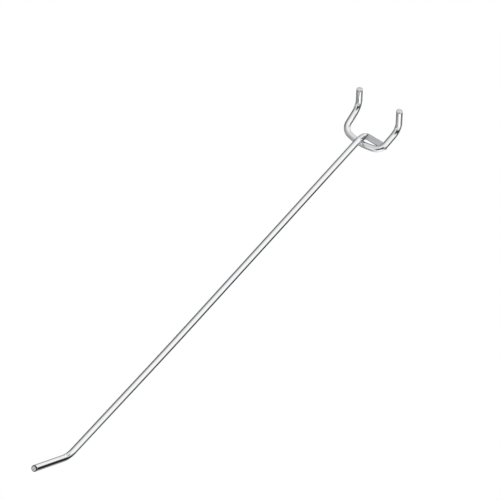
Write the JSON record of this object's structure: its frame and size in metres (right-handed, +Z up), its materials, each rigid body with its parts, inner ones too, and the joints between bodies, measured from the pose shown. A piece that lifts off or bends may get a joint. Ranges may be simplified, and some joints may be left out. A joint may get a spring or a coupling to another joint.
{
  "type": "pegboard hook",
  "caption": "Bright plated wire hook for a pegboard: a U of wire with upturned prongs for the board's holes, welded under a long straight arm with an upturned tip.",
  "frame": {"origin": "on the front of the board, midway between the centres of the two holes", "axes": "+Z up, +X to the right of a person facing the board, +Y into the board; the arm points along -Y"},
  "size_m": [0.0286, 0.2706, 0.0269],
  "materials": {
    "plated_wire": "bright plated steel wire"
  },
  "bodies": {
    "root": {"prong_wire": "plated_wire", "arm_wire": "plated_wire"}
  },
  "joints": []
}
